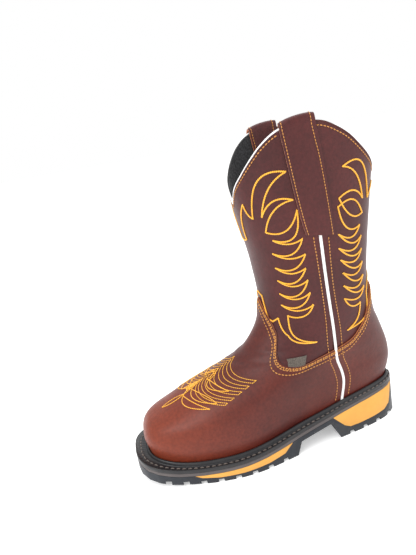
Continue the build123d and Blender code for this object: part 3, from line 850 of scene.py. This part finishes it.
@dataclass
class PullStraps:
    """Straps sewn over the topline at both sides, each one continuous piece."""

    skin: Skin
    finish: Finish
    peak: float = 6.4
    blend_below: float = 12.0
    outer_rows: int = 60
    inner_rows: int = 24
    arch_rows: int = 30
    places: int = 24
    stitch_places: tuple[int, int] = (2, 21)
    thread: Thread = Thread(0.42, 3.0, 2.5)

    def across(self, v: Array, share: Array) -> Array:
        """u at a share of the strap's half width from its middle."""
        middle = smooth_curve(v, STRAP_MIDDLE)
        return middle + share * self.skin.turns(STRAP_WIDTH / 2, middle, v)

    def centre_line(self, side: Side, share: Array) -> tuple[Array, Array]:
        """Middle surface of the strap: up the outer face, over a rounded arch, down inside.

        Args:
            side: outer or inner.
            share: place across the strap, from -1 at the front to 1 at the rear.

        Returns:
            Points and outward normals, stations by places across by 3.
        """
        v = np.linspace(STRAP_FOOT, 0.985, self.outer_rows)[:, None] + 0 * share
        for _ in range(10):
            u = self.across(v, share)
            top = self.skin.topline(u) - self.skin.rises(1.5, u, self.skin.topline(u))
            v = STRAP_FOOT + (top - STRAP_FOOT) * np.linspace(0, 1, self.outer_rows)[:, None]
        outer = self.skin.deep(side.value * u, v, LEATHER - STRAP_THICKNESS / 2)
        w = STRAP_INNER_FOOT + (v[-1:] - STRAP_INNER_FOOT) * np.linspace(1, 0, self.inner_rows)[:, None]
        inner = self.skin.deep(side.value * self.across(w, share), w, WALL + FIT + STRAP_THICKNESS / 2)
        start, end = outer[-1], inner[0]
        middle, half = (start + end) / 2, (start - end) / 2
        turn = np.linspace(0, np.pi, self.arch_rows)[1:-1, None, None]
        rise = np.array([0, 0, 1.0]) * (self.peak + 1.25 * (share.reshape(-1)[:, None] + 1))
        arch = middle + half * np.cos(turn) + rise * np.abs(np.sin(turn)) ** 0.8
        points = np.concatenate([outer, arch, inner])
        along = np.gradient(points, axis=0)
        across = np.gradient(points, axis=1)
        normal = unit(np.cross(across, along)) * side.value
        outward = self.skin.normal(side.value * u[:1], v[:1])
        if np.sum(normal[0] * outward[0]) < 0:
            normal = -normal
        return points, normal

    def build(self) -> None:
        """Make both straps with their stitch rows."""
        across = np.linspace(-1, 1, self.places)
        thin = 1 - 0.25 * np.abs(across) ** 12
        for side in Side:
            points, normal = self.centre_line(side, across[None])
            half = STRAP_THICKNESS / 2 * thin[None, :, None]
            outside, inside = points + normal * half, points - normal * half
            name = side.name.lower()
            if side is Side.INNER:
                outside, inside = outside[:, ::-1], inside[:, ::-1]
            piece = shell_object(f"pull_strap_{name}", outside, inside)
            self.finish.dress(piece, "shaft_leather", "raw_edge")
            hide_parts(f"{name}_strap_outside_leg", f"{name}_pull_loop",
                        f"{name}_strap_inside_leg")
            self.bend(piece)
            rows = [(points[:, place] + normal[:, place] * (STRAP_THICKNESS / 2 + 0.1), normal[:, place])
                    for place in self.stitch_places]
            stitches = self.thread.stitches(f"strap_stitches_{name}", rows)
            self.finish.dress(stitches, "tan_thread")
            self.bend(stitches)

    def bend(self, piece: Piece) -> None:
        """Bake a piece's transform into its mesh."""
        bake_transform(piece)


@dataclass
class Stitching:
    """Seam rows and the coloured embroidery, as single stitches lying on the leather."""

    skin: Skin
    finish: Finish
    upper: Upper
    seam: Thread = Thread(0.55, 3.5, 2.7)
    ladder: Thread = Thread(0.42, 2.5, 3.2, 68.0)
    small: Thread = Thread(0.55, 2.1, 2.2, 8.0)
    fine: Thread = Thread(0.42, 2.1, 2.0)
    gold: Thread = Thread(0.9, 1.9, 2.7, 16.0)
    crown: float = 1.4
    vamp_scale: tuple[float, float] = (50.0, 350.0)
    shaft_scale: tuple[float, float] = (330.0, 380.0)
    edge_rows: tuple[float, ...] = (2.2, 4.8, 10.5)
    edge_points: int = 1400
    seam_points: int = 500
    topline_points: int = 1000
    ladder_row: float = 3.5
    seam_rows: tuple[float, ...] = (-8.5, 8.5)
    seam_ease: int = 61
    topline_row: float = 3.2
    wrinkle_end: float = 0.86
    front: Tips = (
        (0.0, 0.822, 0), (0.024, 0.827, 0), (0.064, 0.898, 0.15), (0.089, 0.876, -0.15),
        (0.197, 0.939, 0.22), (0.120, 0.880, -0.12), (0.203, 0.905, 0.15), (0.120, 0.852, -0.14),
        (0.208, 0.891, -0.2), (0.134, 0.836, 0.3), (0.210, 0.843, -0.14), (0.124, 0.804, 0.22),
        (0.211, 0.810, -0.14), (0.121, 0.770, 0.22), (0.206, 0.777, -0.16), (0.120, 0.742, 0.22),
        (0.206, 0.750, -0.16), (0.118, 0.714, 0.22), (0.206, 0.723, -0.16), (0.116, 0.690, 0.22),
        (0.208, 0.695, -0.16), (0.134, 0.665, 0.22), (0.222, 0.562, -0.16), (0.144, 0.602, 0.14),
        (0.102, 0.656, 0.06), (0.083, 0.645, 0), (0.064, 0.650, 0), (0.031, 0.700, 0.06),
        (0.0, 0.706, 0))
    back: Tips = (
        (0.5, 0.905, 0), (0.432, 0.918, 0.05), (0.388, 0.900, 0.0), (0.296, 0.938, -0.25),
        (0.360, 0.900, 0.15), (0.287, 0.903, -0.15), (0.360, 0.882, -0.2), (0.284, 0.892, -0.2),
        (0.350, 0.864, -0.3), (0.284, 0.850, 0.22), (0.358, 0.845, -0.22), (0.283, 0.823, 0.22),
        (0.362, 0.820, -0.22), (0.287, 0.797, 0.22), (0.368, 0.791, -0.22), (0.292, 0.767, 0.22),
        (0.373, 0.760, -0.22), (0.292, 0.737, 0.22), (0.375, 0.733, -0.22), (0.290, 0.706, 0.22),
        (0.347, 0.690, -0.3), (0.300, 0.580, 0.06), (0.391, 0.712, -0.15), (0.44, 0.755, 0.1),
        (0.5, 0.762, 0.05))
    toe_leaf: Tips = ((0.20, 0.302, 0), (0.07, 0.222, 0.13), (0.20, 0.302, 0.13))
    toe_flower: tuple[Tips, ...] = (
        ((0.0, 0.345, 0), (0.03, 0.316, 0.2), (0.20, 0.302, 0.2), (0.26, 0.297, 0), (0.796, 0.259, 0.13),
         (0.26, 0.297, 0.1), (0.12, 0.322, 0.1), (0.0, 0.338, 0.1)),
        ((0.0, 0.358, 0), (0.10, 0.325, 0.1), (0.20, 0.302, 0)),
        ((0.0, 0.372, 0), (0.13, 0.336, 0.1), (0.20, 0.302, 0.1)),
        ((0.10, 0.318, 0), (0.238, 0.329, 0.15), (0.797, 0.284, -0.05), (0.238, 0.329, -0.2),
         (0.14, 0.345, 0.1), (0.0, 0.355, 0)),
        ((0.0, 0.425, 0), (0.168, 0.408, 0.2), (0.225, 0.412, 0), (0.32, 0.385, 0), (0.228, 0.381, 0),
         (0.168, 0.408, 0), (0.0, 0.418, 0.2)),
        ((0.30, 0.384, 0), (0.77, 0.343, 0.12), (0.30, 0.384, 0.12)))
    wrinkles: tuple[tuple[float, float, float, float], ...] = (
        (0.492, 0.477, 0.392, 0.378), (0.461, 0.446, 0.363, 0.349), (0.430, 0.415, 0.334, 0.320),
        (0.400, 0.388, 0.304, 0.293), (0.376, 0.365, 0.281, 0.271))

    def curve(self, tips: Tips, depth: float | None, sign: int) -> tuple[Array, Array]:
        """Line through tips, each reached by a parabola that bulges by a share of its chord.

        Args:
            tips: across, v and the bulge, to the left when positive, of the run that ends there.
                Across is u on the shaft, and on the vamp the share of the way from the ridge to
                the widest place.
            depth: depth on the skin, or none to follow the foot's and the shaft's outer faces.
            sign: 1 for the outer side and -1 for the inner one.

        Returns:
            Points and outward normals.
        """
        scale = np.array(self.vamp_scale if depth == 0.0 else self.shaft_scale)
        t = np.linspace(0, 1, 25)[1:, None]
        line = [np.array([tips[0][:2]])]
        for (u0, v0, _), (u1, v1, bulge) in zip(tips, tips[1:]):
            a, b = np.array([u0, v0]) * scale, np.array([u1, v1]) * scale
            chord = b - a
            control = (a + b) / 2 + 2 * bulge * np.array([-chord[1], chord[0]])
            line.append(((1 - t) ** 2 * a + 2 * t * (1 - t) * control + t**2 * b) / scale)
        uv = np.concatenate(line)
        if depth == 0.0:
            uv[:, 0] = np.arcsin(np.clip(uv[:, 0], 0, 1) ** self.crown) / (2 * np.pi)
        return self.on(sign * uv[:, 0], uv[:, 1], depth)

    def on(self, u: Array, v: Array, depth: float | None) -> tuple[Array, Array]:
        """Points and normals on the leather's outer face, creases included."""
        if depth is None:
            depth = np.where(v < self.skin.foot_edge(u), 0.0, LAYER_2)
        return self.skin.deep(u, v, depth - self.upper.wave(u, v) - 0.1), self.skin.normal(u, v)

    def add(self, name: str, thread: Thread, finish: str, paths: list[tuple[Array, Array]]) -> None:
        """One piece of stitches."""
        piece = thread.stitches(name, paths)
        self.finish.dress(piece, finish)
        hand_in(piece, "thread")

    def seams(self) -> None:
        """Rows along the foot's edge, the side seams and the topline."""
        u = np.linspace(-0.5, 0.5, self.edge_points)
        paths = []
        for below in self.edge_rows:
            v = self.skin.above(self.skin.foot_edge, -below)(u)
            paths.append(self.on(u, v, 0.0))
        self.add("foot_edge_stitches", self.seam, "tan_thread", paths)
        v = self.skin.above(self.skin.foot_edge, -self.ladder_row)(u)
        self.add("foot_edge_ladder_stitches", self.ladder, "tan_thread", [self.on(u, v, 0.0)])
        paths = []
        v = np.linspace(0.01, STRAP_FOOT - 0.004, self.seam_points)
        for side in Side:
            for shift in self.seam_rows:
                middle = smooth_curve(v, SEAM)
                line, out = self.on(side.value * (middle + self.skin.turns(shift, middle, v)), v, None)
                paths.append((eased(line, self.seam_ease), out))
        self.add("side_seam_stitches", self.seam, "tan_thread", paths)
        u = np.linspace(-0.5, 0.5, self.topline_points)
        v = self.skin.above(self.skin.topline, -self.topline_row)(u)
        clear = (np.abs(fold(u) - smooth_curve(0.97, STRAP_MIDDLE))
                 > self.skin.turns(STRAP_WIDTH / 2 + 1, u, v))
        pieces = np.split(np.arange(len(u)), np.flatnonzero(np.diff(clear.astype(int))) + 1)
        self.add("topline_stitches", self.seam, "tan_thread",
                 [self.on(u[p], v[p], LAYER_2) for p in pieces if clear[p[0]] and len(p) > 5])

    def embroidery(self) -> None:
        """Flames and feathers on the shaft, the flower and wrinkle lines on the vamp."""
        for name, tips in (("shaft_front_embroidery", self.front), ("shaft_back_embroidery", self.back)):
            self.add(name, self.gold, "gold_thread",
                     [self.curve(tips, LAYER_2, side.value) for side in Side])
        pairs = [((0.0, a, 0), (self.wrinkle_end, c, 0.03), (self.wrinkle_end, d, 0.0), (0.0, b, -0.03))
                 for a, b, c, d in self.wrinkles]
        self.add("vamp_flower_embroidery", self.small, "gold_thread",
                 [self.curve(tips, 0.0, side.value) for tips in self.toe_flower for side in Side]
                 + [self.curve(self.toe_leaf, 0.0, Side.OUTER.value)])
        self.add("vamp_wrinkle_embroidery", self.fine, "gold_thread",
                 [self.curve(tips, 0.0, side.value) for tips in pairs for side in Side])

    def build(self) -> None:
        """Make every stitch row."""
        self.seams()
        self.embroidery()


@dataclass
class Sole:
    """Storm welt with its thread, and softened copies of the moulded sole pieces."""

    skin: Skin
    finish: Finish
    rib_pitch: float = 3.1
    rib_height: float = 0.3
    thread: Thread = Thread(0.75, 6.2, 4.6)
    stations: int = 1400
    channel: float = 3.9
    inner_lip: Stations = (
        (0.15, -7.9), (0.15, -4.0), (0.25, -1.0), (0.7, -0.25), (1.5, 0.05), (2.4, -0.3), (3.0, -1.2),
        (3.25, -2.6), (3.5, -3.6))
    outer_edge: Stations = (
        (-1.0, -3.75), (-0.45, -3.75), (-0.1, -4.1), (0.0, -4.8), (0.0, -7.2), (-0.3, -7.9))
    roundings: tuple[tuple[str, str, float], ...] = (
        ("outsole", "sole_rubber", 0.6), ("midsole", "midsole_rubber", 0.7),
        ("forefoot_insert", "sole_foam", 0.4), ("heel_insert", "sole_foam", 0.4))

    def outline(self, count: int) -> tuple[Array, Array, Array]:
        """Feather line, its outward directions in plan, and the sole's margin there."""
        fine = np.linspace(0, 1, 4001)
        points = self.skin.point(fine, 0 * fine)
        run = run_along(points)
        u = np.interp(np.linspace(0, run[-1], count, endpoint=False), run, fine)
        base = self.skin.point(u, 0 * u)
        turn = np.roll(base, -2, 0) - np.roll(base, 2, 0)
        out = np.stack([turn[:, 1], -turn[:, 0], 0 * u], 1)
        out = unit(out * np.sign(out[0] @ np.array([0.0, -1.0, 0.0])))
        for _ in range(6):
            out = unit(out + np.roll(out, 1, 0) + np.roll(out, -1, 0))
        margin = smooth_curve(self.skin.shift[1] - base[:, 1], MARGINS)
        return base, out, margin

    def at(self, base: Array, out: Array, aside: Array) -> Array:
        """Points outside the feather line, at the feather line's height there."""
        points = base + out * aside[:, None]
        points[:, 2] = smooth_curve(self.skin.shift[1] - points[:, 1], FEATHER)
        return points

    def welt(self) -> None:
        """Welt: a rounded lip against the leather, a ribbed channel and a raised edge."""
        base, out, margin = self.outline(self.stations)
        run = np.cumsum(np.linalg.norm(np.roll(base, -1, 0) - base, axis=1))
        rib = self.rib_height * np.abs(np.sin(np.pi * run / self.rib_pitch))
        floor, width = -RIM_HEIGHT - 0.3, margin - self.channel
        profile = [(0 * margin + a, 0 * margin + z) for a, z in self.inner_lip]
        profile += [(4.1 + 0 * margin, floor + rib * 0.2), (self.channel + width * 0.35, floor + rib),
                    (self.channel + width * 0.6, floor + rib), (margin - 1.3, floor + rib * 0.4)]
        profile += [(margin + a, 0 * margin + z) for a, z in self.outer_edge]
        rings = []
        for aside, rise in profile:
            points = self.at(base, out, aside)
            points[:, 2] += rise
            rings.append(points)
        piece = loft_object("storm_welt_rubber", np.stack(rings, 1), closed=True)
        self.finish.dress(piece, "welt_rubber")
        hand_in(piece, "welt_rubber", "storm_welt")
        middle = self.at(base, out, self.channel + width * 0.48)
        middle[:, 2] += floor + self.rib_height + 0.1
        ring = np.concatenate([middle, middle[:1]])
        stitches = self.thread.stitches("welt_stitches", [(ring, np.tile([0, 0, 1.0], (len(ring), 1)))])
        self.finish.dress(stitches, "thread")
        hand_in(stitches, "thread", "welt_thread")

    def moulded(self) -> None:
        """Outsole, midsole and inserts: the CAD meshes with their edges rounded."""
        for node, finish, width in self.roundings:
            mesh = frame["nodes"][node].data.copy()
            made = bmesh.new()
            made.from_mesh(mesh)
            bmesh.ops.remove_doubles(made, verts=made.verts, dist=1e-6)
            bmesh.ops.dissolve_limit(made, angle_limit=np.radians(0.5), verts=made.verts,
                                     edges=made.edges)
            made.to_mesh(mesh)
            made.free()
            mesh.polygons.foreach_set("use_smooth", np.ones(len(mesh.polygons), bool))
            piece = bpy.data.objects.new(f"{node}_moulding", mesh)
            bpy.context.scene.collection.objects.link(piece)
            bevel = piece.modifiers.new("rounded edges", "BEVEL")
            bevel.width, bevel.segments, bevel.limit_method = width * MM, 2, "ANGLE"
            bevel.angle_limit, bevel.harden_normals = np.radians(32), True
            self.finish.dress(piece, finish)
            hand_in(piece, finish, node)

    def build(self) -> None:
        """Make the welt and dress the sole."""
        self.welt()
        self.moulded()


def dress_kept_nodes(finish: Finish) -> None:
    """Give every CAD node that no new piece replaces the finish of its own slot."""
    slots = {part["node"]: part["material_slot"] for part in frame["record"]["subparts"]}
    for name, node in frame["nodes"].items():
        if not node.hide_render:
            finish.dress(node, slots[name])
            LOG.info("%s keeps its CAD mesh", name)


@dataclass(frozen=True)
class Studio:
    """Floor, lights and camera."""

    camera_m: tuple[float, float, float] = (0.48427, -0.10793, 0.34025)
    azimuth: float = 81.88
    elevation: float = 15.77
    roll: float = -10.29
    focal_px: float = 487.21
    long_side_px: float = 555.0
    lamps: tuple[tuple[str, Place, float, float, float], ...] = (
        ("key", (0.75, -0.95, 1.05), 0.12, 0.6, 10),
        ("fill", (1.1, 0.9, 0.7), 0.15, 1.0, 2.5),
        ("top", (-0.2, 0.1, 1.5), 0.1, 1.2, 8),
        ("rim", (-0.9, 0.5, 0.8), 0.2, 0.8, 4))
    floor_half_m: float = 60.0

    def camera(self) -> None:
        """Camera at the outer side, a little above, turned about its own axis."""
        a, e, r = np.radians([self.azimuth, self.elevation, self.roll])
        back = np.array([np.sin(a) * np.cos(e), -np.cos(a) * np.cos(e), np.sin(e)])
        right = np.array([np.cos(a), np.sin(a), 0.0])
        up = np.cross(back, right)
        x = np.cos(r) * right + np.sin(r) * up
        y = -np.sin(r) * right + np.cos(r) * up
        data = bpy.data.cameras.new("camera")
        data.lens = self.focal_px / self.long_side_px * data.sensor_width
        data.clip_start, data.clip_end = 0.01, 20
        camera = bpy.data.objects.new("camera", data)
        bpy.context.scene.collection.objects.link(camera)
        matrix = np.eye(4)
        matrix[:3, 0], matrix[:3, 1], matrix[:3, 2], matrix[:3, 3] = x, y, back, self.camera_m
        camera.matrix_world = Matrix(matrix.tolist())
        bpy.context.scene.camera = camera

    def area(self, name: str, place: Place, height: float, size: float, power: float) -> None:
        """Square area light aimed at a height on the boot's axis, in metres and watts."""
        data = bpy.data.lights.new(name, "AREA")
        data.energy, data.size = power, size
        lamp = bpy.data.objects.new(name, data)
        bpy.context.scene.collection.objects.link(lamp)
        lamp.location = place
        lamp.rotation_mode = "QUATERNION"
        lamp.rotation_quaternion = (Vector((0, 0, height)) - Vector(place)).to_track_quat("-Z", "Y")

    def build(self) -> None:
        """Make the stage."""
        self.camera()
        for lamp in self.lamps:
            self.area(*lamp)
        bpy.context.scene.view_settings.view_transform = "Standard"
        world = bpy.data.worlds.new("studio")
        bpy.context.scene.world = world
        world.use_nodes = True
        sky = world.node_tree.nodes["Background"].inputs
        sky["Color"].default_value, sky["Strength"].default_value = (1, 1, 1, 1), 1.0
        corners = np.array([[-1, -1, 0], [1, -1, 0], [1, 1, 0], [-1, 1, 0]]) * self.floor_half_m / MM
        floor = mesh_object("floor", corners, [[0, 1, 2, 3]])
        n = Nodes("floor", 0.9, Specular_IOR_Level=0.1, Emission_Strength=0.35)
        n.shader.inputs["Emission Color"].default_value = (1, 1, 1, 1)
        tone = n.ramp(n.noise(3), (0.3, (0.90, 0.90, 0.90)), (0.7, (0.93, 0.93, 0.93)))
        floor.data.materials.append(n.done(tone))


def placed_skin() -> Skin:
    """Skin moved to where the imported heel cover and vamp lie."""
    skin = Skin()
    hem = level(-0.07)
    u, v = skin.half_grid(Panel.BACK, hem, skin.foot_edge, 60, 61)
    shift_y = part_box("heel_cover")[1].y / MM - float(skin.point(u, v)[..., 1].max())
    u, v = skin.half_grid(Panel.FRONT, hem, skin.foot_edge, 60, 121)
    points = skin.point(u, v)
    low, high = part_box("vamp")
    shift_x = (low.x + high.x) / 2 / MM - float(points[..., 0].min() + points[..., 0].max()) / 2
    LOG.info("skin moved by %.3f and %.3f mm", shift_x, shift_y)
    return Skin(shift=(shift_x, shift_y))


def main() -> None:
    """Build the boot's looks round the frame."""
    logging.basicConfig(level=logging.INFO, format="%(message)s")
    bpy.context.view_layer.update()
    skin, finish = placed_skin(), Finish()
    Studio().build()
    upper = Upper(skin, finish)
    upper.build()
    PullStraps(skin, finish).build()
    Stitching(skin, finish, upper).build()
    Sole(skin, finish).build()
    dress_kept_nodes(finish)
    bpy.context.view_layer.update()


if __name__ == "__main__":
    main()
